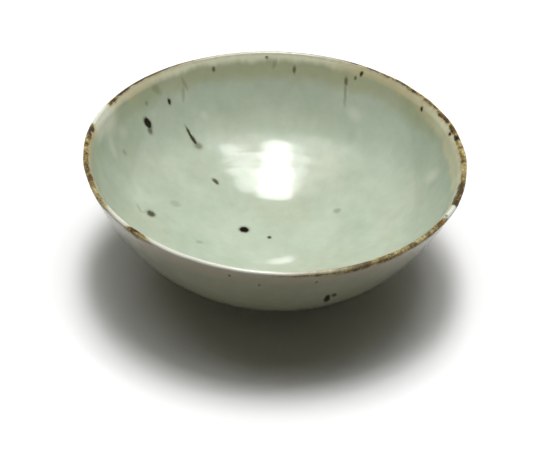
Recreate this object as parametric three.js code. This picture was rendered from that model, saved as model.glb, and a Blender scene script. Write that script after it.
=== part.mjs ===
// A wheel-thrown Korean bowl: a thin clay wall on a turned foot ring, under a pale green glaze
// with an iron-brown lip. Millimetres, +Z up, with the origin on the table under the middle
// of the foot. Angles are in degrees, counted from +X towards +Y.
import * as THREE from "three";

// Overall sizes, over the glaze
const rimDiameter = 165;
const height = 61;
const footDiameter = 56;
const footHeight = 7;

// The lip and its brown band
const lipThickness = 2.2;
const lipSlope = 67.5; // of the wall at the lip, up from level
const bandOutside = 2.4; // down the outer wall from the lip
const bandInside = 0.8; // down the inner wall from the lip
const leftPatchAngle = 161.25;
const rightPatchAngle = -26.25;
const patchLength = 10.8; // along the lip

// The outer wall is one curve, set by its slopes and by how far each end holds its slope.
const undersideSlope = 10.6; // where the wall leaves the foot
const lowerSweep = 28.5;
const upperSweep = 22.6;

// Wall thickness at even steps from the foot up to the band, square to the outer wall
const wallAtFoot = 7.5;
const wallLow = 8;
const wallMiddle = 6.1;
const wallHigh = 2.9;
const wallUnderLip = 2.4; // the thin hollow just below the lip
const wallAtBand = 2.8;
const wellHeight = 11.5; // of the middle of the inside above the table

// The turned foot ring
const footEdgeWidth = 5.2;
const footChamfer = 0.6;
const footFillet = 2;
const recessDepth = 6.2;
const recessFillet = 1.6;
const recessCone = 1; // how far the middle of the recess hangs below its rim

// The coat over the clay
const glazeThickness = 0.4;
const lipCoat = 0.25; // glaze runs off the lip, so the iron in the clay browns it
const coatGap = 0.02; // between each coat and what it lies on
const outerGlazeStop = 2.6; // height at which the glaze ends on the outside of the foot
const recessGlazeStop = 2; // and inside it
const glazeEdge = 1.2; // the length over which the glaze thins out to nothing

// The firing left the rim slightly oval and slightly wavy.
const ovalness = 0.35; // how far the rim's radius strays from round
const ovalAngle = 70.5; // where the rim is widest
const rimWave = 0.59; // how far the rim's height strays from level
const waveAngle = 36.5; // where the rim is highest

const facets = 48; // flats round the bowl
const wallSteps = 9;
const cornerSteps = 2;
const wellSteps = 4;

const { degToRad } = THREE.MathUtils;
const at = (radius, z) => new THREE.Vector2(radius, z);
const towards = (degrees) => at(Math.cos(degToRad(degrees)), Math.sin(degToRad(degrees)));
const along = (point, direction, distance) => point.clone().addScaledVector(direction, distance);

const rimRadius = rimDiameter / 2;
const footRadius = footDiameter / 2;
const recessRadius = footRadius - footEdgeWidth;

// A quarter or so of a circle, from one direction to another, seen from its centre.
function corner(centre, radius, fromDegrees, toDegrees, steps) {
  const clockwise = toDegrees < fromDegrees;
  const [start, end] = [degToRad(fromDegrees), degToRad(toDegrees)];
  const arc = new THREE.ArcCurve(centre.x, centre.y, radius, start, end, clockwise);
  return arc.getPoints(steps);
}

// The lip is a half round that touches the bowl's full height and full radius.
const upTheWall = towards(lipSlope);
const intoTheWall = towards(lipSlope + 90);
const lipRadius = lipThickness / 2;
const lipCentre = at(rimRadius - lipRadius, height - lipRadius);
const lipRound = corner(lipCentre, lipRadius, lipSlope - 90, lipSlope + 90, 2 * cornerSteps);
const bandFoot = along(lipRound[0], upTheWall, -bandOutside);

// The foot's outside meets the wall in a fillet, and the outer wall starts at its far end.
const outOfTheFoot = towards(undersideSlope);
const filletReach = footFillet * Math.tan(degToRad((90 - undersideSlope) / 2));
const filletCentre = at(footRadius + footFillet, footHeight - filletReach);
const footCorner = corner(filletCentre, footFillet, 180, 90 + undersideSlope, cornerSteps);
const wallStart = footCorner[cornerSteps];
const outerWall = new THREE.CubicBezierCurve(
  wallStart,
  along(wallStart, outOfTheFoot, lowerSweep),
  along(bandFoot, upTheWall, -upperSweep),
  bandFoot,
);

// The inner wall lies the wall's own thickness inside the outer one.
const thicknessStations = [0, 0.2, 0.4, 0.6, 0.8, 1];
const thicknesses = [wallAtFoot, wallLow, wallMiddle, wallHigh, wallUnderLip, wallAtBand];
const wallThickness = new THREE.CubicInterpolant(thicknessStations, thicknesses, 1);
function innerWallPoint(station) {
  const direction = outerWall.getTangentAt(station);
  const inwards = at(-direction.y, direction.x);
  return along(outerWall.getPointAt(station), inwards, wallThickness.evaluate(station)[0]);
}
const innerWall = [];
for (let step = wallSteps; step >= 0; step--) innerWall.push(innerWallPoint(step / wallSteps));
const lipInside = lipRound[2 * cornerSteps];
const bandEnd = along(lipInside, innerWall[0].clone().sub(lipInside).normalize(), bandInside);

// The well carries the inner wall's slope on to a level middle.
const [beforeWell, wellRim] = innerWall.slice(-2);
const wellSlope = wellRim.clone().sub(beforeWell).normalize();
const well = new THREE.CubicBezierCurve(
  wellRim,
  along(wellRim, wellSlope, wellRim.x / 3),
  at(wellRim.x / 2, wellHeight),
  at(0, wellHeight),
);

// Every piece is turned from parts of one outline, which runs under the foot from the axis, up
// the outside, over the lip and down the inside to the axis again. Each station holds a point
// of the finished surface and the thickness of the coat there.
const outline = [];
function add(points, coat) {
  for (const point of points) outline.push({ point, coat });
  return outline.length - 1;
}

const recessCorner = at(recessRadius - recessFillet, recessDepth - recessFillet);
const recessStart = add([at(0, recessDepth - recessCone)], glazeThickness);
add(corner(recessCorner, recessFillet, 90, 0, cornerSteps), glazeThickness);
add([at(recessRadius, recessGlazeStop + glazeEdge)], glazeThickness);
const recessEnd = add([at(recessRadius, recessGlazeStop)], 0);
add([at(recessRadius, footChamfer), at(recessRadius + footChamfer, 0)], 0);
add([at(footRadius - footChamfer, 0), at(footRadius, footChamfer)], 0);
const outsideStart = add([at(footRadius, outerGlazeStop)], 0);
add([at(footRadius, outerGlazeStop + glazeEdge), ...footCorner], glazeThickness);
const outsideEnd = add(outerWall.getSpacedPoints(wallSteps).slice(1), glazeThickness);
add(lipRound, lipCoat);
const insideStart = add([bandEnd], glazeThickness);
const insideEnd = add([...innerWall, ...well.getPoints(wellSteps).slice(1)], glazeThickness);

// The point that lies at a depth under a station of the finished surface.
function under(index, depth) {
  const { point } = outline[index];
  if (point.x === 0) return at(0, point.y + (index === 0 ? depth : -depth));
  const before = outline[index - 1].point;
  const after = outline[index + 1].point;
  const direction = after.clone().sub(before).normalize();
  return along(point, at(-direction.y, direction.x), depth);
}
const clayOutline = outline.map(({ coat }, index) => under(index, coat));

// A coat's profile: along the finished surface and back just above the clay, closed unless
// the axis closes it. An end where the coat is 0 thick is a sharp edge.
function coatProfile(first, last) {
  const surface = [];
  const underside = [];
  for (let index = first; index <= last; index++) {
    surface.push(outline[index].point);
    const { coat } = outline[index];
    if (coat > 0) underside.unshift(under(index, coat - coatGap));
  }
  if (surface[0].x === 0) return [...surface, ...underside];
  if (underside[0].x === 0) return [...underside, ...surface];
  return [...surface, ...underside, surface[0]];
}

// Moves every point as the firing moved the clay: most at the rim, not at all at the foot
// edge or on the axis.
function settle(geometry) {
  const position = geometry.getAttribute("position");
  for (let i = 0; i < position.count; i++) {
    const [x, y, z] = [position.getX(i), position.getY(i), position.getZ(i)];
    const share = ((x * x + y * y) / rimRadius ** 2) * (z / height);
    const angle = Math.atan2(y, x);
    const oval = Math.cos(2 * (angle - degToRad(ovalAngle)));
    const wave = Math.cos(2 * (angle - degToRad(waveAngle)));
    const stretch = 1 + (share * ovalness * oval) / rimRadius;
    position.setXYZ(i, x * stretch, y * stretch, z + share * rimWave * wave);
  }
}

// Closes the two ends of a part-turned solid with the profile's own face.
function closeEnds(geometry, profile) {
  const last = geometry.parameters.segments * profile.length;
  const faces = THREE.ShapeUtils.triangulateShape(profile.slice(0, -1), []);
  const startFace = faces.flat();
  const endFace = faces.flatMap(([a, b, c]) => [last + c, last + b, last + a]);
  geometry.setIndex([...geometry.index.array, ...startFace, ...endFace]);
}

// Turns a profile into a solid, all the way round or over a run of the bowl's flats.
function turned(profile, firstFacet = 0, facetCount = facets) {
  const facetAngle = (2 * Math.PI) / facets;
  const [start, sweep] = [firstFacet * facetAngle, facetCount * facetAngle];
  const geometry = new THREE.LatheGeometry(profile, facetCount, start, sweep);
  if (facetCount < facets) closeEnds(geometry, profile);
  geometry.rotateX(Math.PI / 2);
  settle(geometry);
  return geometry;
}

const clay = new THREE.MeshStandardMaterial({ color: 0xb39b7c, roughness: 0.9, metalness: 0 });
const glaze = { roughness: 0.15, metalness: 0 };
const insideGlaze = new THREE.MeshStandardMaterial({ color: 0xb9c2a6, ...glaze });
const outsideGlaze = new THREE.MeshStandardMaterial({ color: 0xadb097, ...glaze });
const recessGlaze = new THREE.MeshStandardMaterial({ color: 0xa9ab90, ...glaze });
const ironLip = { color: 0x7a5c30, roughness: 0.45, metalness: 0 };
const palePatch = { color: 0xd0ccb0, roughness: 0.3, metalness: 0 };

const bowl = new THREE.Group();
function piece(name, geometry, material) {
  const mesh = new THREE.Mesh(geometry, material);
  mesh.name = name;
  bowl.add(mesh);
}

piece("clay_body", turned(clayOutline), clay);
piece("glaze_foot_recess", turned(coatProfile(recessStart, recessEnd)), recessGlaze);
piece("glaze_outside", turned(coatProfile(outsideStart, outsideEnd)), outsideGlaze);
piece("glaze_inside", turned(coatProfile(insideStart, insideEnd)), insideGlaze);

// The lip's coat is parted into two brown arcs by the two pale patches. A lathe starts at -Y,
// so an angle from +X is a quarter turn further on.
const facetLength = (Math.PI * rimDiameter) / facets;
const patchFacets = Math.max(1, Math.round(patchLength / facetLength));
function facetAt(degrees) {
  return Math.round(((degrees + 90) / 360) * facets - patchFacets / 2);
}
const leftPatch = facetAt(leftPatchAngle);
const rightPatch = facetAt(rightPatchAngle);
const backArc = leftPatch - rightPatch - patchFacets;
const frontArc = facets - backArc - 2 * patchFacets;
const lipProfile = coatProfile(outsideEnd, insideStart);
function lipPiece(name, firstFacet, facetCount, finish) {
  const material = new THREE.MeshStandardMaterial(finish);
  piece(name, turned(lipProfile, firstFacet, facetCount), material);
}

lipPiece("brown_rim_back", rightPatch + patchFacets, backArc, ironLip);
lipPiece("brown_rim_front", leftPatch + patchFacets, frontArc, ironLip);
lipPiece("rim_patch_left", leftPatch, patchFacets, palePatch);
lipPiece("rim_patch_right", rightPatch, patchFacets, palePatch);

export default bowl;
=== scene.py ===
# %% [markdown]
# # A Korean green-glazed bowl
# A bowl like this one is thrown on a wheel, so nearly everything about it is round: one outline,
# turned about an upright axis, gives the wall, the foot and the coats of glaze. What makes it look
# real is what happened after the wheel. The rim sagged a little in the kiln, the glaze ran off the
# lip and left it brown, and iron in the clay burned through as dark specks.
#
# The cells below turn each coat as a thin closed shell, and then spend most of their lines on glaze.

# %% Load the fixed model
import math
from types import SimpleNamespace

import bpy
from mathutils import Matrix, Vector, kdtree, noise


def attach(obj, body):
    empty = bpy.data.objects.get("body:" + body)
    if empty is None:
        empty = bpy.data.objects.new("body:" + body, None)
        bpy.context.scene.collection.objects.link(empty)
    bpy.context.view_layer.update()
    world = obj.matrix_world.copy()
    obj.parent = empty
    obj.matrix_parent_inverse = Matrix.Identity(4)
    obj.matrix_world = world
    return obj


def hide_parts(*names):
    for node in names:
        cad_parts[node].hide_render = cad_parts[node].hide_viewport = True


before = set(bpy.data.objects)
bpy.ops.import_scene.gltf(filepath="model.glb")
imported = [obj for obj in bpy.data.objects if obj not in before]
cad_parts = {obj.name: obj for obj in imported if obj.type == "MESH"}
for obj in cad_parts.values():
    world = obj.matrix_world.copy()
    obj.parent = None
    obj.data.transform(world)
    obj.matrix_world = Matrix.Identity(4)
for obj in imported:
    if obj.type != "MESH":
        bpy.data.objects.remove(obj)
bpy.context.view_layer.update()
mm = 0.001
print("parts:", ", ".join(sorted(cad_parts)))

# %% [markdown]
# ## The main sizes
# Blender works in metres, so every size is a count of millimetres times `mm`. A point of the
# outline is a pair: its distance from the axis and its height above the table.

# %% Main sizes of the bowl
rim_radius = 82.5 * mm
height = 61 * mm
foot_radius = 28 * mm
foot_height = 7 * mm
print(f"rim {2 * rim_radius / mm:.0f} mm across, {height / mm:.0f} mm high")

# %% [markdown]
# ## The lip and the outer wall
# The lip is a half round, where the wall was rubbed smooth with a wet cloth. The outer wall is one
# curve from the foot to the lip. A Bezier curve with four handles is enough, because a potter
# pulls such a wall in one movement: it leaves the foot nearly level and ends steep.

# %% Draw the lip
lip_thickness = 2.2 * mm
lip_radius = lip_thickness / 2
lip_slope = math.radians(67.5)
lip_steps = 12
quarter = math.pi / 2


def towards(angle):
    return Vector((math.cos(angle), math.sin(angle)))


def arc(centre, radius, start, end, steps):
    turn = (end - start) / steps
    return [centre + radius * towards(start + turn * i) for i in range(steps + 1)]


lip_centre = Vector((rim_radius - lip_radius, height - lip_radius))
lip_round = arc(lip_centre, lip_radius, lip_slope - quarter, lip_slope + quarter, lip_steps)
print(f"lip {lip_thickness / mm:.1f} mm thick")

# %% Draw the outer wall
band_outside = 2.4 * mm
underside_slope = math.radians(10.6)
lower_sweep = 28.5 * mm
upper_sweep = 22.6 * mm
foot_fillet = 2 * mm
fillet_steps = 6
wall_steps = 48


def bezier(a, b, c, d, steps):
    points = []
    for i in range(steps + 1):
        t = i / steps
        s = 1 - t
        points.append(s**3 * a + 3 * s * s * t * b + 3 * s * t * t * c + t**3 * d)
    return points


up_the_wall = towards(lip_slope)
band_foot = lip_round[0] - band_outside * up_the_wall
fillet_reach = foot_fillet * math.tan((quarter - underside_slope) / 2)
fillet_centre = Vector((foot_radius + foot_fillet, foot_height - fillet_reach))
foot_corner = arc(fillet_centre, foot_fillet, math.pi, quarter + underside_slope, fillet_steps)
wall_start = foot_corner[-1]
outer_wall = bezier(
    wall_start,
    wall_start + lower_sweep * towards(underside_slope),
    band_foot - upper_sweep * up_the_wall,
    band_foot,
    wall_steps,
)
print(f"outer wall from {wall_start / mm} to {band_foot / mm}")

# %% [markdown]
# ## The inner wall
# The inside isn't a copy of the outside. The wall is thick low down, where it carries the bowl, and
# thinnest just under the lip. So the inner wall is found from the outer one and from a thickness
# that changes along it, read off a smooth curve through six values.

# %% A smooth curve through values
def smooth_value(stations, values, x):
    """The height at x of a smooth curve through the values."""
    last = len(stations) - 1
    tangents = []
    for i in range(last + 1):
        low, high = max(i - 1, 0), min(i + 1, last)
        tangents.append((values[high] - values[low]) / (stations[high] - stations[low]))
    i = max(k for k in range(last) if k == 0 or stations[k] <= x)
    span = stations[i + 1] - stations[i]
    t = (x - stations[i]) / span
    return (
        (2 * t**3 - 3 * t * t + 1) * values[i]
        + (t**3 - 2 * t * t + t) * span * tangents[i]
        + (3 * t * t - 2 * t**3) * values[i + 1]
        + (t**3 - t * t) * span * tangents[i + 1]
    )


thickness_stations = (0, 0.2, 0.4, 0.6, 0.8, 1)
thicknesses = (7.5 * mm, 8 * mm, 6.1 * mm, 2.9 * mm, 2.4 * mm, 2.8 * mm)
half_way = smooth_value(thickness_stations, thicknesses, 0.5)
print(f"wall {half_way / mm:.1f} mm thick half way up")

# %% Draw the inner wall and the well
band_inside = 0.8 * mm
well_height = 11.5 * mm
well_steps = 20


def left_of(direction):
    return Vector((-direction.y, direction.x))


lengths = [0.0]
for here, there in zip(outer_wall, outer_wall[1:]):
    lengths.append(lengths[-1] + (there - here).length)
inner_wall = []
for i in range(wall_steps + 1):
    before, after = outer_wall[max(i - 1, 0)], outer_wall[min(i + 1, wall_steps)]
    inwards = left_of((after - before).normalized())
    thickness = smooth_value(thickness_stations, thicknesses, lengths[i] / lengths[-1])
    inner_wall.append(outer_wall[i] + thickness * inwards)
inner_wall.reverse()
band_end = lip_round[-1] + band_inside * (inner_wall[0] - lip_round[-1]).normalized()

well_rim = inner_wall[-1]
into_the_well = (well_rim - inner_wall[-2]).normalized()
well = bezier(
    well_rim,
    well_rim + well_rim.x / 3 * into_the_well,
    Vector((well_rim.x / 2, well_height)),
    Vector((0, well_height)),
    well_steps,
)
print(f"well {well_height / mm:.0f} mm above the table, wall {lengths[-1] / mm:.0f} mm long")

# %% [markdown]
# ## One outline for every piece
# The clay and its coats lie on each other, so they're cut from one outline. It starts under the
# foot on the axis, runs up the outside and over the lip, and comes down inside to the axis again.
# Each station keeps a point of the finished surface and the coat's thickness there. The coat thins
# out to nothing where the potter wiped the foot clean.

# %% Join the stretches into one outline
foot_edge_width = 5.2 * mm
foot_chamfer = 0.6 * mm
recess_radius = foot_radius - foot_edge_width
recess_depth = 6.2 * mm
recess_fillet = 1.6 * mm
recess_cone = 1 * mm
glaze_thickness = 0.4 * mm
lip_coat = 0.25 * mm
outer_glaze_stop = 2.6 * mm
recess_glaze_stop = 2 * mm
glaze_edge = 1.2 * mm
outline = []


def add_stretch(points, coat):
    outline.extend((point, coat) for point in points)
    return len(outline) - 1


recess_corner = Vector((recess_radius - recess_fillet, recess_depth - recess_fillet))
recess_start = add_stretch([Vector((0, recess_depth - recess_cone))], glaze_thickness)
add_stretch(arc(recess_corner, recess_fillet, quarter, 0, fillet_steps), glaze_thickness)
add_stretch([Vector((recess_radius, recess_glaze_stop + glaze_edge))], glaze_thickness)
recess_end = add_stretch([Vector((recess_radius, recess_glaze_stop))], 0)
add_stretch([Vector((recess_radius, foot_chamfer)), Vector((recess_radius + foot_chamfer, 0))], 0)
add_stretch([Vector((foot_radius - foot_chamfer, 0)), Vector((foot_radius, foot_chamfer))], 0)
outside_start = add_stretch([Vector((foot_radius, outer_glaze_stop))], 0)
add_stretch([Vector((foot_radius, outer_glaze_stop + glaze_edge))], glaze_thickness)
add_stretch(foot_corner, glaze_thickness)
outside_end = add_stretch(outer_wall[1:], glaze_thickness)
add_stretch(lip_round, lip_coat)
inside_start = add_stretch([band_end], glaze_thickness)
inside_end = add_stretch(inner_wall + well[1:], glaze_thickness)
print(len(outline), "stations")

# %% Cut the clay and the coats from the outline
coat_gap = 0.02 * mm


def under(index, depth):
    point = outline[index][0]
    if point.x == 0:
        return point + Vector((0, depth if index == 0 else -depth))
    direction = (outline[index + 1][0] - outline[index - 1][0]).normalized()
    return point + depth * left_of(direction)


def coat_profile(first, last):
    stations = range(first, last + 1)
    surface = [outline[i][0] for i in stations]
    below = [under(i, outline[i][1] - coat_gap) for i in reversed(stations) if outline[i][1] > 0]
    if below[0].x == 0:
        return below + surface
    return surface + below


clay_profile = [under(i, coat) for i, (point, coat) in enumerate(outline)]
print("clay profile:", len(clay_profile), "points")

# %% [markdown]
# ## Turning the pieces
# To turn a piece by hand in Blender, a point is extruded along the profile, and the Spin tool
# carries that line round the axis. A full turn closes on itself. The brown lip isn't a full turn:
# it is four arcs, so there the profile is filled with a face first, and Spin drags the face along,
# which leaves both ends closed.

# %% The potter's wheel
turn_steps = 240
weld_distance = 0.001 * mm


def deselect_all():
    bpy.ops.object.select_all(action="DESELECT")


def turned(name, profile, start=0.0, sweep=math.tau):
    """Extrudes a point along the profile, spins it about +Z and returns the closed piece."""
    deselect_all()
    side = Vector((math.cos(start), math.sin(start), 0))
    place = [side * p.x + Vector((0, 0, p.y)) for p in profile]
    bpy.ops.mesh.primitive_plane_add(size=mm, location=place[0])
    piece = bpy.context.active_object
    piece.name = piece.data.name = name
    bpy.ops.object.transform_apply(location=True, rotation=True, scale=True)
    bpy.ops.object.mode_set(mode="EDIT")
    bpy.ops.mesh.merge(type="CENTER")
    loop = place if profile[0].x == 0 else place + place[:1]
    for here, there in zip(loop, loop[1:]):
        bpy.ops.mesh.extrude_vertices_move(TRANSFORM_OT_translate={"value": there - here})
    bpy.ops.mesh.select_all(action="SELECT")
    bpy.ops.mesh.remove_doubles(threshold=weld_distance)
    part_turn = sweep < math.tau
    if part_turn:
        bpy.ops.mesh.edge_face_add()
    steps = max(2, round(turn_steps * sweep / math.tau))
    # Spin counts clockwise, and every angle here counts the other way.
    bpy.ops.mesh.spin(
        steps=steps, angle=-sweep, center=(0, 0, 0), axis=(0, 0, 1), use_auto_merge=not part_turn
    )
    bpy.ops.mesh.select_all(action="SELECT")
    bpy.ops.mesh.remove_doubles(threshold=weld_distance)
    bpy.ops.mesh.normals_make_consistent(inside=False)
    bpy.ops.object.mode_set(mode="OBJECT")
    return piece


print(f"one step of the wheel: {math.tau * rim_radius / turn_steps / mm:.1f} mm along the rim")

# %% [markdown]
# ## What the kiln did
# No tool of Blender's gives a rim that is a third of a millimetre out of round and half a
# millimetre out of level, with fine unevenness on top, so the points are moved in code. The same
# rule moves every piece, and the coats stay on the clay. It does nothing at the foot edge, where
# the bowl stands flat, or on the axis.

# %% Settle a piece as the firing did
ovalness = 0.35 * mm
oval_angle = math.radians(70.5)
rim_wave = 0.59 * mm
wave_angle = math.radians(36.5)
unevenness = 0.22 * mm
unevenness_length = 14 * mm
second_layer = Vector((0, 0, 9))
# Where the lip bulges or falls in, at angles round the bowl in degrees, and by how many mm
lumps = {-24: 0.5, 22: 0.4, 166: 0.45, 198: -0.4}
lump_width = 6
# The powers of the share that keep a move to the upper wall, and to the lip alone
upper_wall = 3
lip_alone = 8


def settle(piece):
    """Moves a piece's points as the firing moved the clay."""
    for vertex in piece.data.vertices:
        x, y, z = vertex.co
        share = (x * x + y * y) / rim_radius**2 * z / height
        angle = math.atan2(y, x)
        stretch = ovalness * math.cos(2 * (angle - oval_angle))
        lift = rim_wave * math.cos(2 * (angle - wave_angle))
        spot = Vector((x, y, 0)).normalized() * rim_radius / unevenness_length
        stretch += unevenness * share**upper_wall * noise.noise(spot)
        for lump_angle, bulge in lumps.items():
            off = (math.degrees(angle) - lump_angle + 180) % 360 - 180
            stretch += bulge * mm * share**lip_alone * math.exp(-((off / lump_width) ** 2))
        lift += unevenness * share**upper_wall * noise.noise(spot + second_layer)
        vertex.co.x = x * (1 + share * stretch / rim_radius)
        vertex.co.y = y * (1 + share * stretch / rim_radius)
        vertex.co.z = z + share * lift
    piece.data.update()


print(f"rim {ovalness / mm:.2f} mm out of round and {rim_wave / mm:.2f} mm out of level")

# %% [markdown]
# ## How far the glaze has run
# A glaze changes colour with its distance from the lip, because it ran down from there. That
# distance follows the wall and not any axis, so it's kept on each mesh as an attribute of its
# own, in millimetres: 0 on the crown of the lip, more inside, and less than 0 outside.

# %% Measure the outline from the crown of the lip
run_lengths = [0.0]
for (here, _), (there, _) in zip(outline, outline[1:]):
    run_lengths.append(run_lengths[-1] + (there - here).length)
crown = outside_end + 1 + len(lip_round) // 2
run_lengths = [length - run_lengths[crown] for length in run_lengths]
stations_tree = kdtree.KDTree(len(outline))
for i, (point, coat) in enumerate(outline):
    stations_tree.insert((point.x, point.y, 0), i)
stations_tree.balance()
print(f"from the lip to the middle: {run_lengths[-1] / mm:.0f} mm")

# %% [markdown]
# ## What the lip went through
# No two stretches of the lip look alike: at the back it is rubbed pale, at the left and right it
# is crusted brown, in front it is nearly bare, and at two places the glaze stayed on and broke the
# brown. A noise can't know that, so a record of what each stretch looks like is read as a smooth
# curve round the bowl and kept on the meshes, and noise only breaks up its edges.

# %% The record of the lip
# At angles round the bowl in degrees: how far in mm the brown comes in over the crown and goes
# down outside it, how dark it is and how bare the crown is left of it, from 0 to 1, how far in mm
# the cream glaze reaches below it, and how olive the glaze below and how tan the cream is, from
# 0 to 1. The olive is the glaze's own tone, and where it is set deep, at the back, it is also
# painted shade.
lip_record = {
    -36: (1.3, 2.8, 0.6, 0.1, 6, 0.1, 0.5),
    -31: (1.5, 2.8, 0.6, 0, 6, 0.1, 0.4),
    -28.8: (1.2, 2.4, 0.6, 0, 6, 0.1, 0.2),
    -27: (-4, 0.5, 0.3, 1, 7, 0, 0),
    -23: (-4, 0.5, 0.4, 1, 7, 0, 0),
    -21: (2.6, 2.8, 0.95, 0, 7, 0, 0.3),
    -13: (2.8, 2.8, 0.9, 0, 8, 0, 0.4),
    -9: (2.3, 2.8, 0.6, 0, 9, 0.1, 0.3),
    -5: (2.2, 2.8, 0.42, 0.1, 10, 0.2, 0.2),
    1: (2.4, 2.8, 0.45, 0, 11, 0.3, 0.3),
    12: (2, 2.8, 0.42, 0, 11, 0.3, 0.3),
    18: (2, 2.8, 0.75, 0, 10, 0.4, 0.4),
    24: (1.8, 2.8, 0.55, 0, 9, 0.5, 0.3),
    30: (1.7, 2.8, 0.75, 0, 8, 0.6, 0.5),
    40: (1.7, 2.8, 0.62, 0, 6, 0.6, 0.8),
    55: (1.2, 2.8, 0.65, 0, 5, 0.8, 0.9),
    66: (0.9, 2.8, 0.7, 0, 4.5, 0.9, 0.8),
    75: (0.8, 2.8, 0.75, 0.5, 4.5, 0.9, 0.2),
    110: (0.7, 2.8, 0.75, 0.6, 5, 0.9, 0),
    125: (1, 2.8, 0.8, 0, 4.5, 0.8, 0.1),
    140: (1.1, 2.8, 0.95, 0, 5, 0.6, 0.7),
    153: (1.3, 2.8, 0.95, 0, 5, 0.4, 0.6),
    158: (1.3, 2.4, 0.7, 0.1, 6, 0.2, 0.3),
    160.5: (-4, 0.5, 0.3, 1, 8, 0, 0),
    167: (-4, 0.5, 0.3, 1, 8, 0, 0),
    170: (1.2, 2.6, 0.6, 0, 5, 0.1, 0.4),
    174: (2, 2.8, 0.9, 0, 4.5, 0.3, 1),
    179: (2.1, 2.8, 0.8, 0, 4.5, 0.4, 1),
    185: (2, 2.8, 0.45, 0, 4.5, 0.4, 1),
    190: (2.1, 2.8, 0.55, 0, 4.5, 0.4, 1),
    194: (2, 2.8, 0.75, 0, 4, 0.4, 1),
    199: (1.9, 2.8, 0.6, 0, 4, 0.3, 0.9),
    206: (1.4, 2.8, 0.45, 0.1, 3, 0.2, 0.6),
    212: (1.1, 2.6, 0.3, 0.2, 3, 0.2, 0.5),
    217: (-3, 1, 0.3, 0.4, 3, 0.1, 0.6),
    222: (-4, 0.5, 0.3, 0.7, 3, 0, 0.2),
    226: (1.2, 2.6, 0.45, 0, 3, 0, 0.6),
    231: (1, 2.6, 0.4, 0.1, 3, 0, 0.5),
    236: (-3, 0.8, 0.3, 0.8, 3, 0, 0.2),
    245: (-4, 0.5, 0.4, 1, 3, 0, 0),
    266: (-4, 0.5, 0.5, 1, 3, 0, 0),
    275: (1.3, 1.2, 0.6, 0.9, 3, 0, 0.3),
    283: (1.2, 2, 0.55, 0.6, 3, 0, 0.5),
    290: (1.2, 2.8, 0.6, 0.4, 3, 0, 0.5),
    298: (1.2, 2.8, 0.75, 0.1, 3, 0.1, 0.5),
    310: (1.3, 2.8, 0.62, 0.1, 4, 0.1, 0.5),
    324: (1.3, 2.8, 0.6, 0.1, 6, 0.1, 0.5),
    329: (1.5, 2.8, 0.6, 0, 6, 0.1, 0.4),
}
print(len(lip_record), "places round the lip")

# %% Read the record and keep it on a mesh
first_angle = -36
lip_angles = list(lip_record)
lip_columns = list(zip(*lip_record.values()))
lip_readings = {}


def lip_at(angle):
    """Reads the record at an angle. A turned piece has the same angles over and over."""
    key = round(angle, 2)
    if key not in lip_readings:
        lip_readings[key] = [smooth_value(lip_angles, column, key) for column in lip_columns]
    return lip_readings[key]


def keep_the_record(piece):
    """Stores how far each point is from the crown of the lip, and what the glaze did there."""
    from_lip, bare_crown, brown, under_lip = [], [], [], []
    for vertex in piece.data.vertices:
        x, y, z = vertex.co
        _, nearest, _ = stations_tree.find((math.hypot(x, y), z, 0))
        angle = (math.degrees(math.atan2(y, x)) - first_angle) % 360 + first_angle
        reach, outer, dark, bare, cream, olive, tan = lip_at(angle)
        from_lip.append(run_lengths[nearest] / mm)
        bare_crown.append(bare)
        brown.extend((reach, outer, dark))
        under_lip.extend((cream, olive, tan))
    for name, values in (("from_lip", from_lip), ("bare_crown", bare_crown)):
        piece.data.attributes.new(name, "FLOAT", "POINT").data.foreach_set("value", values)
    for name, values in (("brown", brown), ("under_lip", under_lip)):
        piece.data.attributes.new(name, "FLOAT_VECTOR", "POINT").data.foreach_set("vector", values)


print(f"at the right the brown comes {lip_at(0)[0]:.1f} mm in")

# %% Finish a turned piece
smooth_below = math.radians(40)


def finish_piece(piece, node):
    """Records, settles and smooths a turned piece, and puts it in its node's place."""
    keep_the_record(piece)
    settle(piece)
    deselect_all()
    piece.select_set(True)
    bpy.context.view_layer.objects.active = piece
    bpy.ops.object.shade_smooth_by_angle(angle=smooth_below)
    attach(piece, "root")
    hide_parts(node)
    triangles = sum(len(face.vertices) - 2 for face in piece.data.polygons)
    print(f"{piece.name}: {triangles} triangles")


clay = turned("thrown_clay", clay_profile)
finish_piece(clay, "clay_body")
inner_coat = turned("inner_glaze", coat_profile(inside_start, inside_end))
finish_piece(inner_coat, "glaze_inside")
outer_coat = turned("outer_glaze", coat_profile(outside_start, outside_end))
finish_piece(outer_coat, "glaze_outside")
recess_coat = turned("recess_glaze", coat_profile(recess_start, recess_end))
finish_piece(recess_coat, "glaze_foot_recess")

# %% [markdown]
# ## The four arcs of the lip
# Two short pale places part the brown of the lip into a long arc at the back and one in front.
# Each is a piece of its own, turned over its own share of the circle from the same profile, so
# the four meet end to end.

# %% Turn the four arcs of the lip
lip_profile = coat_profile(outside_end, inside_start)
# Each arc's two ends in degrees round the bowl, the node it stands for, and its slot
lip_arcs = {
    "back": (-22.5, 157.5, "brown_rim_back", "brown_rim"),
    "left": (157.5, 165, "rim_patch_left", "rim_patch"),
    "front": (165, 330, "brown_rim_front", "brown_rim"),
    "right": (-30, -22.5, "rim_patch_right", "rim_patch"),
}
lip_pieces = {}
for place, (start, end, node, slot) in lip_arcs.items():
    sweep = math.radians(end - start)
    lip_pieces[place] = turned("lip_" + place, lip_profile, math.radians(start), sweep)
    finish_piece(lip_pieces[place], node)

# %% [markdown]
# ## Working with nodes
# Every finish below is a set of shader nodes. One function sets and joins a node's sockets, one
# adds a node by it, and one turns an ordinary hex colour into the linear values that Blender
# counts in.

# %% Helpers for the finishes
# A Mix node's sockets for colours, and the setting of a Map Range with soft ends
FACTOR, FIRST, SECOND = 0, 6, 7
smooth = {"interpolation_type": "SMOOTHSTEP"}


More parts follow.
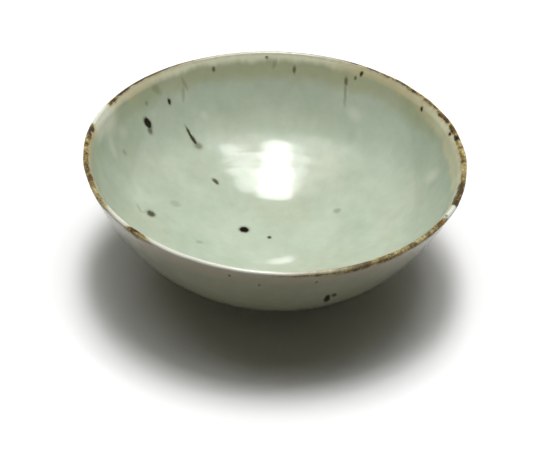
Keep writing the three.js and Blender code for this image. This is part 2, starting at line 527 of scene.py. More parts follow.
def linear(hex_colour):
    channels = [int(hex_colour[i : i + 2], 16) / 255 for i in (1, 3, 5)]
    return (*((c / 12.92 if c <= 0.04045 else ((c + 0.055) / 1.055) ** 2.4) for c in channels), 1)


def join(tree, node, inputs):
    """Sets inputs by name. A node stands for its first live output."""
    for socket, value in inputs.items():
        if isinstance(value, bpy.types.Node):
            value = next(output for output in value.outputs if output.enabled)
        if isinstance(value, bpy.types.NodeSocket):
            tree.links.new(value, node.inputs[socket])
        else:
            node.inputs[socket].default_value = value


def add(tree, kind, inputs=None, **settings):
    """Adds a shader node with its settings, and with values or links for its inputs."""
    node = tree.nodes.new("ShaderNode" + kind)
    for name, value in settings.items():
        setattr(node, name, value)
    join(tree, node, inputs or {})
    return node


def new_finish(name):
    material = bpy.data.materials.new(name)
    material.use_nodes = True
    tree = material.node_tree
    return material, tree, tree.nodes["Principled BSDF"]


print("mid grey is", round(linear("#808080")[0], 3), "in linear light")

# %% [markdown]
# ## Patterns in millimetres
# Patterns are laid out in real sizes. Object coordinates come in metres, so they are scaled up
# once, and a noise of scale 1/18 then has blotches about 18 mm wide. For the marks the places are
# shaken a little, because nothing that burned out of a clay has a clean edge. For the runs of the
# glaze they are drawn out down the wall. A noise could run from 0 to 1, but nearly all of it lies
# between 0.3 and 0.7, so a Map Range spreads about that much of it.

# %% Places that the patterns read
shake_size = 1.6
shake_reach = 0.45
# One step across the runs is 1 mm of the rim, and one down them is about 8 mm of the wall.
across_the_runs = 82.5
down_the_runs = 0.12


def coordinates(tree):
    """Places in mm, shaken places, places along the runs, and mm from the crown of the lip."""
    place = add(tree, "TexCoord").outputs["Object"]
    in_mm = add(tree, "VectorMath", {0: place, "Scale": 1 / mm}, operation="SCALE")
    shake = add(tree, "TexNoise", {"Vector": in_mm, "Scale": 1 / shake_size, "Detail": 2})
    centred = add(tree, "VectorMath", {0: shake.outputs["Color"], 1: (0.5, 0.5, 0.5)},
                  operation="SUBTRACT")
    push = add(tree, "VectorMath", {0: centred, "Scale": 2 * shake_reach}, operation="SCALE")
    shaken = add(tree, "VectorMath", {0: in_mm, 1: push}, operation="ADD")
    level = add(tree, "VectorMath", {0: place, 1: (1, 1, 0)}, operation="MULTIPLY")
    outwards = add(tree, "VectorMath", {0: level}, operation="NORMALIZE")
    around = add(tree, "VectorMath", {0: outwards, "Scale": across_the_runs}, operation="SCALE")
    from_lip = add(tree, "Attribute", attribute_name="from_lip").outputs["Fac"]
    fall = add(tree, "Math", {0: from_lip, 1: down_the_runs}, operation="MULTIPLY")
    down = add(tree, "CombineXYZ", {"Z": fall})
    runs = add(tree, "VectorMath", {0: around, 1: down}, operation="ADD")
    return SimpleNamespace(in_mm=in_mm, shaken=shaken, runs=runs, from_lip=from_lip)


print(f"edges are shaken by {shake_reach} mm")

# %% [markdown]
# ## Marks in the glaze
# Grains of iron in the clay melt in the kiln and burn through as dark spots, and some of them run
# down the wall as streaks. Each mark is a stretched ball placed on the inner wall: a Mapping node
# of type Texture turns a place into the mark's own measure, in which the mark's edge is at 1.

# %% The iron marks on the inside
# A mark's angle round the bowl in degrees, its distance from the axis, length and width in mm,
# its lean from straight up the wall in degrees, and its strength.
iron_marks = {
    "large oval": (143.8, 72.3, 6, 3.7, 16, 1),
    "its tail": (144.1, 70.5, 4.2, 3, 4, 0.6),
    "spot above the streak": (131.8, 74.3, 3.6, 2, 3, 0.8),
    "long streak": (127.7, 64.3, 9.6, 1.5, 8, 0.75),
    "lower half of the streak": (127.3, 62.4, 5.6, 2.2, 8, 0.75),
    "foot of the streak": (126.4, 59.7, 4.6, 3.6, 50, 0.5),
    "spot below the streak": (128.4, 42.7, 4.4, 2.2, 15, 0.68),
    "left spot": (-179.5, 53.2, 5.2, 4.4, 39, 0.7),
    "left scratch": (-179.3, 58.5, 4.6, 1.5, -58, 0.3),
    "second left scratch": (-178, 56.4, 4, 1.3, 11, 0.22),
    "spot in the well": (143.1, 15.2, 4.5, 4.2, 52, 0.95),
    "speck in the middle": (97.1, 5.3, 2.1, 2, 89, 0.7),
    "faint speck": (35.2, 35.5, 3.2, 2.8, 132, 0.4),
    "smudge": (162.9, 45.4, 4.6, 3.6, 24, 0.25),
    "low faint speck": (-168.4, 31.9, 3.4, 2.4, 15, 0.3),
    "dash at the back": (85.3, 77.4, 4.2, 1.7, 5, 0.6),
    "thin run": (66.3, 75.1, 13, 1.3, 12, 0.42),
    "head of the thin run": (66.9, 77.1, 4.6, 1.9, 12, 0.6),
    "high dash": (62.2, 79.3, 2.8, 1.6, -7, 0.75),
    "dot by the dash": (63.9, 78.1, 2.2, 1.4, 3, 0.6),
    "dot at the right": (35.4, 78.7, 2.6, 1.8, 9, 0.75),
    "dash at the back left": (113.1, 77.9, 2.9, 1.7, -1, 0.62),
    "dot at the back": (94.8, 79.6, 2.5, 1.8, 8, 0.6),
    "short run": (92.1, 78.2, 5, 1.8, -13, 0.35),
    "left run": (124.4, 76.6, 6.4, 1.8, 16, 0.35),
    "second left run": (125.7, 74.7, 7.2, 1.6, -12, 0.32),
    "smudge by the oval": (135.7, 77.5, 6.4, 3.2, 33, 0.3),
    "speck by the oval": (141.3, 76, 2.6, 1.8, 9, 0.4),
    "speck at the left": (161.3, 70.7, 3.4, 2, 15, 0.35),
    "dot below the right lip": (17.6, 80, 2.6, 2.4, 0, 0.85),
}
print(len(iron_marks), "iron marks")

# %% [markdown]
# ## Pale places and marks outside
# The glaze is paler where it pooled or was touched before the firing, and most of all where it
# stayed on the lip and spilled over. Under the lip at the back, a strip of painted glints stands in
# for light caught on the glaze. Two chips and three specks show on the front of the outside, and
# a few red and black burns sit on the lip itself.

# %% The other marks
pale_places_and_glints = {
    "pale blotch": (60.8, 71.2, 7, 4.5, 63, 0.5),
    "pale right blotch": (13.1, 71.5, 8, 5, 150, 0.65),
    "pale left blotch": (119.2, 68.8, 4, 3, 39, 0.4),
    "spill of the left patch": (162.5, 78.2, 9, 14, 0, 1),
    "lower end of the spill": (169.5, 78.2, 5, 11, 0, 0.8),
    "run of the spill": (166, 74.5, 11, 4, -20, 0.45),
    "foot of the spill": (157, 74.5, 6, 5, 30, 0.4),
    # Painted glints: light caught on the glaze under the back lip, laid on as a pale colour.
    "painted glints under the back lip": (82, 80.4, 3, 9, 0, 0.7),
    "cream run at the right": (-14, 78, 9, 7, 0, 0.35),
}
outer_marks = {
    "dark chip": (-69.7, 70.5, 11, 2.6, -10, 1),
    "second chip": (-68, 72.5, 5, 2.2, -20, 0.8),
    "speck below the lip at the left": (-101, 81.2, 2.2, 1.2, 0, 0.6),
    "speck below the lip in front": (-92.5, 79.2, 2.4, 1.3, 0, 0.5),
    "speck below the lip at the right": (-76, 80.2, 2.4, 1.3, 0, 0.5),
}
lip_marks = {
    "red spot by the right patch": (-31, 80.9, 2, 2.6, 0, 0.8),
    "orange spot in front": (229, 81.4, 1.8, 2.2, 0, 0.8),
    "red spot at the right": (26, 81.2, 1.8, 2.2, 0, 0.7),
    "red spot at the back left": (149, 81.2, 1.8, 2.4, 0, 0.6),
    "red spots at the left": (199, 81.2, 1.8, 2.4, 0, 0.5),
    "spot in front": (293, 81.3, 1.6, 1.8, 0, 0.5),
}
dark_lip_marks = {
    "black dot on the right lip": (13.5, 80.7, 3, 3, 0, 1),
    "dark spot at the right": (27.5, 80.6, 1.8, 2, 0, 0.8),
    "chip in the right patch": (-27.5, 81.3, 1.4, 1.6, 0, 0.7),
    "olive dot at the left": (212.5, 80.6, 1.8, 2, 0, 0.6),
    "dark end in front at the left": (228, 81.3, 1.8, 2.4, 0, 0.8),
}
print(len(pale_places_and_glints), "pale places,", len(outer_marks), "marks outside")

# %% Find a mark's place on the wall
mark_depth = 2.5
middle = len(lip_round) // 2
inner_surface = lip_round[middle:] + inner_wall + well[1:]
outer_surface = lip_round[middle // 2 :: -1] + outer_wall[::-1]


def on_the_surface(surface, angle, radius):
    """A place on a turned surface in metres, with its directions round, up the wall and out."""
    pairs = zip(surface, surface[1:])
    high, low = next((a, b) for a, b in pairs if b.x <= radius <= a.x)
    z = low.y + (high.y - low.y) * (radius - low.x) / (high.x - low.x)
    out = Vector((math.cos(angle), math.sin(angle), 0))
    around = Vector((-out.y, out.x, 0))
    up = (out * (high.x - low.x) + Vector((0, 0, high.y - low.y))).normalized()
    return out * radius + Vector((0, 0, z)), around, up, around.cross(up)


mark_angle, mark_radius = iron_marks["large oval"][:2]
mark_place = on_the_surface(inner_surface, math.radians(mark_angle), mark_radius * mm)[0]
print("the large oval is at", [round(v / mm, 1) for v in mark_place], "mm")

# %% Paint marks as one mask
def painted_marks(tree, shaken, marks, softness, surface=inner_surface):
    """Returns one mask that holds all of the marks."""
    mask = None
    for angle, radius, length, width, lean, strength in marks.values():
        place, around, up, out = on_the_surface(surface, math.radians(angle), radius * mm)
        frame_of_mark = Matrix((around, up, out)).transposed()
        turn = frame_of_mark @ Matrix.Rotation(math.radians(-lean), 3, "Z")
        local = add(tree, "Mapping", {
            "Vector": shaken,
            "Location": place / mm,
            "Rotation": turn.to_euler(),
            "Scale": (width / 2, length / 2, mark_depth),
        }, vector_type="TEXTURE")
        reach = add(tree, "VectorMath", {0: local}, operation="LENGTH")
        spot = add(tree, "MapRange", {
            "Value": reach,
            "From Min": 1 + softness, "From Max": 1 - softness, "To Min": 0, "To Max": strength,
        }, **smooth)
        if mask is not None:
            spot = add(tree, "Math", {0: mask, 1: spot}, operation="MAXIMUM")
        mask = spot
    return mask


print("a mark reaches", mark_depth, "mm into the wall")

# %% [markdown]
# ## The celadon glaze
# The glaze is a grey-green glass about half a millimetre thick, coloured by a little iron. It is
# clear enough to show the clay's mottling, greener where it lies thick, and yellower near the
# lip, where it ran thin. Just under the lip it rolled up into a pale welt. One recipe serves the
# inside and the outside with tones of their own, so that they match where they meet on the lip.

# %% The tones of the glaze
# A recipe holds hex colours, how far the cream spreads beyond the record and how soft its edge is
# in mm, and how strong the pale roll at the lip is.
inner_recipe = {
    "pale": "#C8D3BF", "deep": "#BCC9B4", "olive": "#B9BB93", "cream": "#E6E6C9",
    "tan": "#CABE90", "cream_stretch": 1, "cream_edge": 1.8, "roll": 0.55,
}
outer_recipe = {
    "pale": "#DCDDBA", "deep": "#D0D3AD", "olive": "#CFC89A", "cream": "#E0D4AC",
    "tan": "#DCCBA2", "cream_stretch": 2.6, "cream_edge": 5, "roll": 0,
}
# The white of the pale roll and the pale places, also used for the painted glints
glaze_white_and_glints = "#E6E9D6"
glaze_blush = "#C7C4AD"
print("tones inside:", inner_recipe["pale"], "to", inner_recipe["deep"])

# %% The clouds in the glaze
mottle_size = 18
blush_size = 30
blush_amount = 0.3


def clouded(tree, in_mm, pale, deep):
    """Clouds of two tones, with a warm blush here and there."""
    mottle = add(tree, "TexNoise", {"Vector": in_mm, "Scale": 1 / mottle_size, "Detail": 4,
                                    "Roughness": 0.6})
    share = add(tree, "MapRange", {"Value": mottle, "From Min": 0.35, "From Max": 0.65})
    clouds = add(tree, "Mix", {FACTOR: share, FIRST: linear(pale), SECOND: linear(deep)},
                 data_type="RGBA")
    blush = add(tree, "TexNoise", {"Vector": in_mm, "Scale": 1 / blush_size, "Detail": 3})
    amount = add(tree, "MapRange", {"Value": blush, "From Min": 0.45, "From Max": 0.7,
                                    "To Max": blush_amount})
    return add(tree, "Mix", {FACTOR: amount, FIRST: clouds, SECOND: linear(glaze_blush)},
               data_type="RGBA")


print(f"clouds {mottle_size} mm wide, blushes {blush_size} mm wide")

# %% The glaze near the lip
# All in mm from the crown of the lip. The olive band below the cream is the glaze's own tone,
# and where the record sets it deep it is also painted shade.
olive_shade_start = 9
olive_shade_end = 16
roll_start = 1
roll_end = 3.5


def thinned(tree, colour, distance, wandering, recipe):
    """Turns the glaze olive, partly painted shade, then cream or tan, then pale, near the lip."""
    record = add(tree, "Attribute", attribute_name="under_lip").outputs["Vector"]
    cream_reach, olive_shade_depth, tan_share = add(tree, "SeparateXYZ", {0: record}).outputs
    olive = add(tree, "MapRange", {
        "Value": wandering, "From Min": olive_shade_end, "From Max": olive_shade_start,
        "To Max": olive_shade_depth,
    }, **smooth)
    colour = add(tree, "Mix", {FACTOR: olive, FIRST: colour, SECOND: linear(recipe["olive"])},
                 data_type="RGBA")
    stretched = add(tree, "Math", {0: cream_reach, 1: recipe["cream_stretch"]},
                    operation="MULTIPLY")
    below_cream = add(tree, "Math", {0: wandering, 1: stretched}, operation="SUBTRACT")
    cream_or_tan = add(tree, "Mix", {FACTOR: tan_share, FIRST: linear(recipe["cream"]),
                                     SECOND: linear(recipe["tan"])}, data_type="RGBA")
    cream = add(tree, "MapRange", {
        "Value": below_cream, "From Min": recipe["cream_edge"], "From Max": -recipe["cream_edge"],
    }, **smooth)
    colour = add(tree, "Mix", {FACTOR: cream, FIRST: colour, SECOND: cream_or_tan},
                 data_type="RGBA")
    roll = add(tree, "MapRange", {
        "Value": distance, "From Min": roll_end, "From Max": roll_start, "To Max": recipe["roll"],
    }, **smooth)
    return add(tree, "Mix", {FACTOR: roll, FIRST: colour, SECOND: linear(glaze_white_and_glints)},
               data_type="RGBA")


print(f"the olive fades from {olive_shade_start} to {olive_shade_end} mm below the lip")

# %% The whole colour of the glaze
run_width = 9
run_wander = 1.5
run_shade = 0.985
shade_between_runs = 1.01
fine_mottle_size = 5
fine_mottle = 0.035


def celadon_colour(tree, places, recipe):
    """The colour of the glaze without its marks: mottled, and changing away from the lip."""
    colour = clouded(tree, places.in_mm, recipe["pale"], recipe["deep"])
    streaks = add(tree, "TexNoise", {"Vector": places.runs, "Scale": 1 / run_width, "Detail": 3})
    wander = add(tree, "MapRange", {"Value": streaks, "From Min": 0.3, "From Max": 0.7,
                                    "To Min": -run_wander, "To Max": run_wander})
    distance = add(tree, "Math", {0: places.from_lip}, operation="ABSOLUTE")
    wandering = add(tree, "Math", {0: distance, 1: wander}, operation="ADD")
    colour = thinned(tree, colour, distance, wandering, recipe)
    fine = add(tree, "TexNoise", {"Vector": places.in_mm, "Scale": 1 / fine_mottle_size,
                                  "Detail": 3})
    breath = add(tree, "MapRange", {"Value": fine, "From Min": 0.3, "From Max": 0.7,
                                    "To Min": 1 - fine_mottle, "To Max": 1 + fine_mottle})
    breathing = add(tree, "VectorMath", {0: colour, "Scale": breath}, operation="SCALE")
    shade = add(tree, "MapRange", {"Value": streaks, "From Min": 0.35, "From Max": 0.7,
                                   "To Min": shade_between_runs, "To Max": run_shade})
    return add(tree, "VectorMath", {0: breathing, "Scale": shade}, operation="SCALE")


print(f"runs {run_width} mm wide")

# %% [markdown]
# ## The skin of the glaze
# A fired glaze isn't a mirror. Its skin has an orange peel a few millimetres across and hundredths
# of a millimetre deep, rings left by the potter's fingers, and pinholes where gas came through.
# Half way down the inside one ring stands higher than the others, and bends the light that falls
# on it. All of this is too shallow to be a shape, so the heights are added up in millimetres and
# handed to one Bump node.

# %% The ridge half way down
ridge_radius = 49 * mm
ridge_width = 4
ridge_height = 0.1
ridge_station = min(range(inside_start, inside_end),
                    key=lambda i: abs(outline[i][0].x - ridge_radius))
ridge_place = run_lengths[ridge_station] / mm
print(f"ridge {ridge_place:.0f} mm below the lip")

# %% The relief of the glaze
peel_size = 3.5
peel_depth = 0.012
ring_spacing = 7
ring_depth = 0.03
# Real pinholes are about half as wide: they are drawn coarser so that they show.
pinhole_spacing = 6
pinhole_size = 0.5
pinhole_depth = 0.15
cells_without_pinhole = 0.75


def glaze_relief(tree, places):
    """The normal of a skin with peel, rings, pinholes and the ridge, in mm of height."""
    peel = add(tree, "TexNoise", {"Vector": places.in_mm, "Scale": 1 / peel_size, "Detail": 2})
    peel_height = add(tree, "Math", {0: peel, 1: peel_depth}, operation="MULTIPLY")
    rings = add(tree, "TexNoise", {"W": places.from_lip, "Scale": 1 / ring_spacing, "Detail": 1},
                noise_dimensions="1D")
    ring_height = add(tree, "Math", {0: rings, 1: ring_depth}, operation="MULTIPLY")
    cells = add(tree, "TexVoronoi", {"Vector": places.in_mm, "Scale": 1 / pinhole_spacing})
    hole = add(tree, "MapRange", {
        "Value": cells, "From Min": pinhole_size / pinhole_spacing, "From Max": 0,
        "To Min": 0, "To Max": -pinhole_depth,
    }, **smooth)
    chance = add(tree, "SeparateColor", {0: cells.outputs["Color"]})
    chosen = add(tree, "Math", {0: chance, 1: cells_without_pinhole}, operation="GREATER_THAN")
    hole_height = add(tree, "Math", {0: hole, 1: chosen}, operation="MULTIPLY")
    from_ridge = add(tree, "Math", {0: places.from_lip, 1: ridge_place}, operation="SUBTRACT")
    off_ridge = add(tree, "Math", {0: from_ridge}, operation="ABSOLUTE")
    ridge = add(tree, "MapRange", {"Value": off_ridge, "From Max": ridge_width,
                                   "To Min": ridge_height, "To Max": 0}, **smooth)
    total = peel_height
    for part in (ring_height, hole_height, ridge):
        total = add(tree, "Math", {0: total, 1: part}, operation="ADD")
    return add(tree, "Bump", {"Height": total, "Strength": 1, "Distance": mm})


print(f"rings {ring_depth} mm deep, pinholes {pinhole_size} mm wide")

# %% [markdown]
# ## The brown lip
# Glaze drains off a lip and leaves it thin, and there the kiln turned the iron in the clay brown.
# It is partly dry and gritty, golden where it is thinnest and nearly black where iron gathered,
# and it spills a little way over the inside. So the brown is laid over the glaze by a recipe of
# its own, which follows the record kept on each mesh.

# %% Where the brown lies
lip_edge_size = 3.2
lip_rag = 1.1
# A band that comes in only this far has a cleaner edge than one that comes in far.
clean_reach = 1.1
ragged_reach = 2
clean_share = 0.3
# Over how many mm the brown fades at its inner edge and at its lower one
inner_fade = (-0.3, 0.5)
lower_fade = (-1.2, 0.8)
fringe_width = 1.8
fringe_amount = 0.7
bare_crown_width = 1.1
crown_edge = 0.4


def brown_reach(tree, places, reach, outer):
    """How brown a place is from 0 to 1, how near the brown is, and how bare the crown is."""
    bare = add(tree, "Attribute", attribute_name="bare_crown").outputs["Fac"]
    edge = add(tree, "TexNoise", {"Vector": places.in_mm, "Scale": 1 / lip_edge_size,
                                  "Detail": 2})
    full_rag = add(tree, "MapRange", {"Value": edge, "From Min": 0.25, "From Max": 0.75,
                                      "To Min": -lip_rag, "To Max": lip_rag})
    loose = add(tree, "MapRange", {"Value": reach, "From Min": clean_reach,
                                   "From Max": ragged_reach, "To Min": clean_share})
    rag = add(tree, "Math", {0: full_rag, 1: loose}, operation="MULTIPLY")
    ragged = add(tree, "Math", {0: reach, 1: rag}, operation="ADD")
    inside = add(tree, "Math", {0: ragged, 1: places.from_lip}, operation="SUBTRACT")
    in_reach = add(tree, "MapRange", {"Value": inside, "From Min": inner_fade[0],
                                      "From Max": inner_fade[1]}, **smooth)
    above_foot = add(tree, "Math", {0: places.from_lip, 1: outer}, operation="ADD")
    outside = add(tree, "Math", {0: above_foot, 1: rag}, operation="ADD")
    above = add(tree, "MapRange", {"Value": outside, "From Min": lower_fade[0],
                                   "From Max": lower_fade[1]}, **smooth)
    banded = add(tree, "Math", {0: in_reach, 1: above}, operation="MULTIPLY")
    off_crown = add(tree, "Math", {0: places.from_lip}, operation="ABSOLUTE")
    crown_bare = add(tree, "MapRange", {
        "Value": off_crown, "From Min": bare_crown_width + crown_edge,
        "From Max": bare_crown_width - crown_edge, "To Max": bare,
    }, **smooth)
    kept = add(tree, "Math", {0: 1, 1: crown_bare}, operation="SUBTRACT")
    amount = add(tree, "Math", {0: banded, 1: kept}, operation="MULTIPLY")
    near = add(tree, "MapRange", {"Value": inside, "From Min": -fringe_width, "From Max": 0,
                                  "To Max": fringe_amount}, **smooth)
    fringe = add(tree, "Math", {0: near, 1: above}, operation="MULTIPLY")
    return amount, fringe, crown_bare


print(f"the edge of the brown strays by {lip_rag} mm")

# %% The tones of the brown
lip_blotch_size = 4.5
# Real grains of the crust are about 0.5 mm: they are drawn coarser so that they show.
lip_grain_size = 1.3
# Where each colour stands between the darkest and the palest, from 0 to 1
# The palest tone gives pale grains of the crust that also stand in as painted glints.
brown_tones = {0.2: "#4A3A1B", 0.48: "#87713A", 0.75: "#B8A566", 0.98: "#D9CF9C"}
# Blotch and grain add up to about 1. The sum is shifted by the record and towards the outside,
# and this much of it is spread over the tones.
pale_shift, dark_shift = 0.27, -0.14
inner_shift, outer_shift = -0.08, 0.12
darkest, palest = 0.72, 1.28


def brown_colour(tree, places, dark):
    """Blotches and grains from nearly black to gold. Returns the colour and the grain."""
    blotch = add(tree, "TexNoise", {"Vector": places.in_mm, "Scale": 1 / lip_blotch_size,
                                    "Detail": 2})
    grain = add(tree, "TexNoise", {"Vector": places.in_mm, "Scale": 1 / lip_grain_size,
                                   "Detail": 3, "Roughness": 0.65})
    tone = add(tree, "Math", {0: blotch, 1: grain}, operation="ADD")
    darker = add(tree, "MapRange", {"Value": dark, "To Min": pale_shift, "To Max": dark_shift})
    tone = add(tree, "Math", {0: tone, 1: darker}, operation="ADD")
    paler_outside = add(tree, "MapRange", {"Value": places.from_lip, "From Min": 0.8,
                                           "From Max": -1.6, "To Min": inner_shift,
                                           "To Max": outer_shift})
    tone = add(tree, "Math", {0: tone, 1: paler_outside}, operation="ADD")
    spread = add(tree, "MapRange", {"Value": tone, "From Min": darkest, "From Max": palest})
    ramp_node = add(tree, "ValToRGB", {"Fac": spread})
    stops = ramp_node.color_ramp.elements
    for count, (position, hex_colour) in enumerate(brown_tones.items()):
        # A new ramp has two stops already.
        stop = stops[count] if count < 2 else stops.new(position)
        stop.position = position
        stop.color = linear(hex_colour)
    return ramp_node, grain


print(len(brown_tones), "tones of brown")

# %% Lay the brown over the glaze
lip_tan = "#C2B48E"
# The rubbed crown is pale, and this near-white laid over it is also a painted highlight.
pale_crown_highlight = "#F4F4E6"
crown_highlight_share = 0.75


def browned(tree, colour, places):
    """Lays the brown of the lip over a colour. Returns the colour, how brown, and the grain."""
    record = add(tree, "Attribute", attribute_name="brown").outputs["Vector"]
    reach, outer, dark = add(tree, "SeparateXYZ", {0: record}).outputs
    amount, fringe, crown_bare = brown_reach(tree, places, reach, outer)
    brown, grain = brown_colour(tree, places, dark)
    # A painted highlight is laid over the bare, rubbed crown.
    painted_crown_shine = add(tree, "Math", {0: crown_bare, 1: crown_highlight_share}, operation="MULTIPLY")
    for share, paint in ((fringe, linear(lip_tan)), (painted_crown_shine, linear(pale_crown_highlight)), (amount, brown)):
        colour = add(tree, "Mix", {FACTOR: share, FIRST: colour, SECOND: paint},
                     data_type="RGBA")
    return colour, amount, grain


# The colour of the painted highlight on the rubbed crown
print("the rubbed crown is", pale_crown_highlight)

# %% [markdown]
# ## Glaze inside the bowl
# Glossy celadon over grey stoneware, poured in and swirled. To the eye it gives a pale, slightly
# green grey, a cream edge under the lip with an olive band below it that is partly painted shade,
# a strip of painted glints under the lip at the back, a few dark iron spots that are duller than
# the glass around them, and one soft highlight.

# %% Finish of the inside
glaze_ior = 1.5
inner_roughness = 0.12
glass_sheen = 0.5
spot_sheen = 0.15
iron_brown = "#77704C"
iron_black = "#121005"
pale_softness = 0.9
iron_softness = 0.55
# How strong the brown halo of a spot is where its black core starts and is full
core_start, core_full = 0.4, 0.82

inside_finish, tree, shader = new_finish("celadon_inside")
places = coordinates(tree)
colour = celadon_colour(tree, places, inner_recipe)
colour, _, _ = browned(tree, colour, places)
# Pale places of the glaze, and among them the painted glints under the back lip
pale = painted_marks(tree, places.shaken, pale_places_and_glints, pale_softness)
halo = painted_marks(tree, places.shaken, iron_marks, iron_softness)
core = add(tree, "MapRange", {"Value": halo, "From Min": core_start, "From Max": core_full})
for mask, paint in ((pale, glaze_white_and_glints), (halo, iron_brown), (core, iron_black)):
    colour = add(tree, "Mix", {FACTOR: mask, FIRST: colour, SECOND: linear(paint)},
                 data_type="RGBA")
join(tree, shader, {
    "Base Color": colour,
    "Normal": glaze_relief(tree, places),
    "Specular IOR Level": add(tree, "MapRange", {"Value": core, "To Min": glass_sheen,
                                                 "To Max": spot_sheen}),
    "Roughness": inner_roughness,
    "IOR": glaze_ior,
})
inner_coat.data.materials.append(inside_finish)
print(inside_finish.name, "has", len(tree.nodes), "nodes")

# %% [markdown]
# ## Glaze outside and in the foot
# The bowl was held by its foot and dipped, so the outside has the same glaze, a little thinner
# and yellower. To the eye it is a warm olive grey that turns cream towards the lip, less glossy
# than the inside, with two black chips in front. The hollow of the foot got the same dip.

# %% Finish of the outside and the recess
outer_roughness = 0.18
chip_softness = 0.4

outside_finish, tree, shader = new_finish("celadon_outside")
places = coordinates(tree)
colour = celadon_colour(tree, places, outer_recipe)
colour, _, _ = browned(tree, colour, places)
chips = painted_marks(tree, places.shaken, outer_marks, chip_softness, outer_surface)
colour = add(tree, "Mix", {FACTOR: chips, FIRST: colour, SECOND: linear(iron_black)},
             data_type="RGBA")
join(tree, shader, {
    "Base Color": colour,
    "Normal": glaze_relief(tree, places),
    "Specular IOR Level": add(tree, "MapRange", {"Value": chips, "To Min": glass_sheen,
                                                 "To Max": spot_sheen}),
    "Roughness": outer_roughness,
    "IOR": glaze_ior,
})
outer_coat.data.materials.append(outside_finish)
recess_coat.data.materials.append(outside_finish)
print(outside_finish.name, "has", len(tree.nodes), "nodes")

# %% [markdown]
# ## The lip and its pale places
# The lip takes the glaze of both sides, which meet just outside its crown, and the brown over it.
# To the eye the brown gives a dry, grainy crust from gold to black with a few red burns, and its
# palest grains also stand in as painted glints. The pale places and the rubbed crown are pale, and
# a painted highlight laid over the crown gives a thin white shine. Both finishes are made alike,
# because the record already says where the brown stops.

# %% Finishes of the lip and of the pale places
lip_red = "#7A4520"
crust_roughness = 0.4
crust_sheen = 0.2
crust_depth = 0.2 * mm
# Where the glaze of the outside takes over, in mm outside the crown
outer_side = 0.5
outer_side_full = 2
red_softness = 0.6
black_softness = 0.5

for name, arcs in {"iron_brown_lip": ("back", "front"), "pale_lip": ("left", "right")}.items():
    lip_finish, tree, shader = new_finish(name)
    places = coordinates(tree)
    within = celadon_colour(tree, places, inner_recipe)
    without = celadon_colour(tree, places, outer_recipe)
    side = add(tree, "MapRange", {"Value": places.from_lip, "From Min": -outer_side,
                                  "From Max": -outer_side_full})
    colour = add(tree, "Mix", {FACTOR: side, FIRST: within, SECOND: without}, data_type="RGBA")
    colour, amount, grain = browned(tree, colour, places)
    red = painted_marks(tree, places.shaken, lip_marks, red_softness)
    black = painted_marks(tree, places.shaken, dark_lip_marks, black_softness)
    for mask, paint in ((red, lip_red), (black, iron_black)):
        colour = add(tree, "Mix", {FACTOR: mask, FIRST: colour, SECOND: linear(paint)},
                     data_type="RGBA")
    join(tree, shader, {
        "Base Color": colour,
        "Normal": add(tree, "Bump", {"Height": grain, "Strength": amount,
                                     "Distance": crust_depth}),
        "Specular IOR Level": add(tree, "MapRange", {"Value": amount, "To Min": glass_sheen,
                                                     "To Max": crust_sheen}),
        "Roughness": add(tree, "MapRange", {"Value": amount, "To Min": inner_roughness,
                                            "To Max": crust_roughness}),
        "IOR": glaze_ior,
    })
    for arc_name in arcs:
        lip_pieces[arc_name].data.materials.append(lip_finish)
    print(lip_finish.name, "has", len(tree.nodes), "nodes")

# %% [markdown]
# ## Bare clay
# The foot edge was wiped clean so that it wouldn't stick to the kiln shelf. Unglazed stoneware is
# matt and gritty, and toasted to a warm buff. It gives the eye a thin dry line above the table
# and, from below, a ring between two glossy surfaces.

# %% Finish of the bare clay
# Real grit is about 0.3 mm: it is drawn coarser so that it shows.
grit_size = 0.8
grit_depth = 0.3 * mm
clay_dark = "#A88C6A"
clay_pale = "#C4AE90"
clay_roughness = 0.9

clay_finish, tree, shader = new_finish("bare_stoneware")
grit = add(tree, "TexNoise", {"Vector": coordinates(tree).in_mm, "Scale": 1 / grit_size,
                              "Detail": 4})
join(tree, shader, {
    "Base Color": add(tree, "Mix", {FACTOR: grit, FIRST: linear(clay_dark),
                                    SECOND: linear(clay_pale)}, data_type="RGBA"),
    "Normal": add(tree, "Bump", {"Height": grit, "Strength": 1, "Distance": grit_depth}),
    "Roughness": clay_roughness,
})
clay.data.materials.append(clay_finish)
print(f"{clay_finish.name} has grit of {grit_size} mm")

# %% [markdown]
# ## The floor
# The bowl stands on a wide white sheet. A white sheet under studio lamps would throw much light up
# at the bowl, more than the photo shows, so the sheet is grey to the light that bounces and white
# to the camera and to the glaze that mirrors it. The bowl's shadow falls on it as on any floor.

# %% Lay the floor
floor_white = 0.28
floor_seen = 1.15
floor_width = 8


def seen_directly(tree):
    """1 for what the camera sees, also in a mirror or through glass, and 0 for light."""
    rays = add(tree, "LightPath").outputs
    seen = rays["Is Camera Ray"]
    for ray in ("Is Glossy Ray", "Is Transmission Ray"):
        seen = add(tree, "Math", {0: seen, 1: rays[ray]}, operation="MAXIMUM")
    return seen


deselect_all()
bpy.ops.mesh.primitive_plane_add(size=floor_width)
floor = bpy.context.active_object
floor.name = "floor"
floor_finish = bpy.data.materials.new("white_sheet")
floor_finish.use_nodes = True
tree = floor_finish.node_tree
tree.nodes.clear()
white = add(tree, "MapRange", {"Value": seen_directly(tree), "To Min": floor_white,
                               "To Max": floor_seen})
sheet = add(tree, "BsdfDiffuse", {"Color": white})
add(tree, "OutputMaterial", {"Surface": sheet})
floor.data.materials.append(floor_finish)
print(f"floor {floor_width} m wide")

# %% [markdown]
# ## The lamps
# The light comes from a big soft lamp nearly overhead, with a bright middle and paler arms, which
# the inside of the bowl mirrors as a highlight with soft edges. One lamp of even brightness can't
# give that, so ovals overlap: three keys for the middle, two wide glows round them and two arms
# beside them. One more lamp hangs low behind the bowl, where the front of the inside and the front
# lip mirror it. The shadow falls straight down and a little towards the viewer.

# %% Hang the lamps
lamp_distance = 3
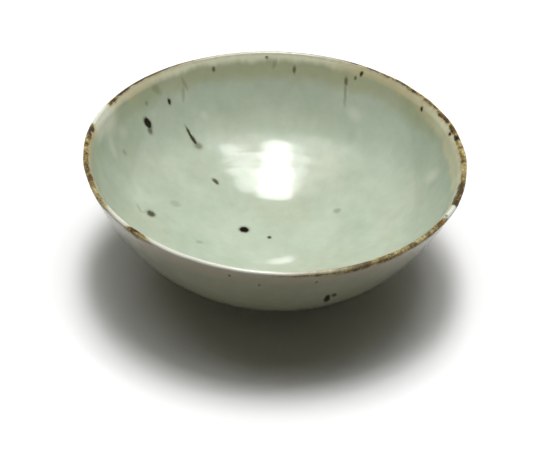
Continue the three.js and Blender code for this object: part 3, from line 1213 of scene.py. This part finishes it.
# Each lamp's aside, tilt, reach aside, reach in tilt, all in degrees, and its brightness
lamp_record = {
    "key_upper": (-0.5, 1, 6, 6.6, 12.5),
    "key_lower": (-0.6, 14, 7.2, 10.6, 12.5),
    "key_side": (-5, 5.5, 8, 9, 5),
    "inner_glow": (-5, 1, 26, 13, 1.2),
    "outer_glow": (-4, 0, 34, 17, 1.0),
    "upper_arm": (12.5, 3.6, 8.5, 2.9, 7.5),
    "lower_arm": (11, 11.4, 7, 3.6, 7.5),
    "back_light": (-2, 61, 2.0, 3.4, 6),
}


def add_lamp(name, aside, tilt, reach_aside, reach_tilt, level):
    """Hangs an oval lamp of a given brightness, tilted back from straight above the bowl."""
    data = bpy.data.lights.new(name, "AREA")
    data.shape = "ELLIPSE"
    data.size = 2 * lamp_distance * math.tan(math.radians(reach_aside))
    data.size_y = 2 * lamp_distance * math.tan(math.radians(reach_tilt))
    # A lamp's power is pi times its area times its brightness.
    data.energy = level * math.pi * math.pi * data.size * data.size_y / 4
    lamp = bpy.data.objects.new(name, data)
    bpy.context.collection.objects.link(lamp)
    lean_back = Matrix.Rotation(math.radians(-tilt), 4, "X")
    lean_aside = Matrix.Rotation(math.radians(aside), 4, "Y")
    lamp.matrix_world = lean_back @ lean_aside @ Matrix.Translation((0, 0, lamp_distance))
    print(f"{name}: {data.size:.2f} by {data.size_y:.2f} m, {data.energy:.0f} W")


for name, record in lamp_record.items():
    add_lamp(name, *record)

# %% [markdown]
# ## The room
# Round the lamps the room is white near the floor, where it meets the sheet, and dim above, so
# that the glaze mirrors a dark ceiling and the lamps stand out on it. To light the bowl there is
# only a faint glow from low down.

# %% Light the room
backdrop_top = 0.2
dim_from = 0.5
dim_room = 0.3
room_light = 0.05
room_light_top = 0.2
world = bpy.context.scene.world or bpy.data.worlds.new("room")
bpy.context.scene.world = world
world.use_nodes = True
tree = world.node_tree
tree.nodes.clear()
direction = add(tree, "SeparateXYZ", {0: add(tree, "TexCoord").outputs["Generated"]})
upwards = direction.outputs["Z"]
backdrop = add(tree, "MapRange", {"Value": upwards, "From Min": backdrop_top,
                                  "From Max": dim_from, "To Min": 1, "To Max": dim_room})
white = add(tree, "Math", {0: seen_directly(tree), 1: backdrop}, operation="MULTIPLY")
low_light = add(tree, "MapRange", {"Value": upwards, "From Max": room_light_top,
                                   "To Min": room_light, "To Max": 0})
strength = add(tree, "Math", {0: white, 1: low_light}, operation="MAXIMUM")
room = add(tree, "Background", {"Color": (1, 1, 1, 1), "Strength": strength})
add(tree, "OutputWorld", {"Surface": room})
bpy.context.scene.view_settings.view_transform = "Standard"
print("the room has", len(tree.nodes), "nodes")

# %% [markdown]
# ## The camera
# The photo looks down at the bowl from about 37 degrees with a long lens, slightly rolled. The
# place and the lens were found by fitting them to the rim, the front lip and the lower outline.

# %% Place the camera
camera_aim = Vector((1.49, 0, 22.6)) * mm
camera_distance = 0.9
camera_elevation = math.radians(37.06)
camera_roll = math.radians(3.23)
camera_data = bpy.data.cameras.new("viewer")
camera_data.lens = 133.9
camera_data.sensor_width = 36
camera = bpy.data.objects.new("viewer", camera_data)
bpy.context.collection.objects.link(camera)
tilt = Matrix.Rotation(quarter - camera_elevation, 4, "X")
roll = Matrix.Rotation(camera_roll, 4, "Z")
back_off = Matrix.Translation((0, 0, camera_distance))
camera.matrix_world = Matrix.Translation(camera_aim) @ tilt @ roll @ back_off
bpy.context.scene.camera = camera
print(f"camera {camera_distance} m away, {math.degrees(camera_elevation):.0f} degrees up")
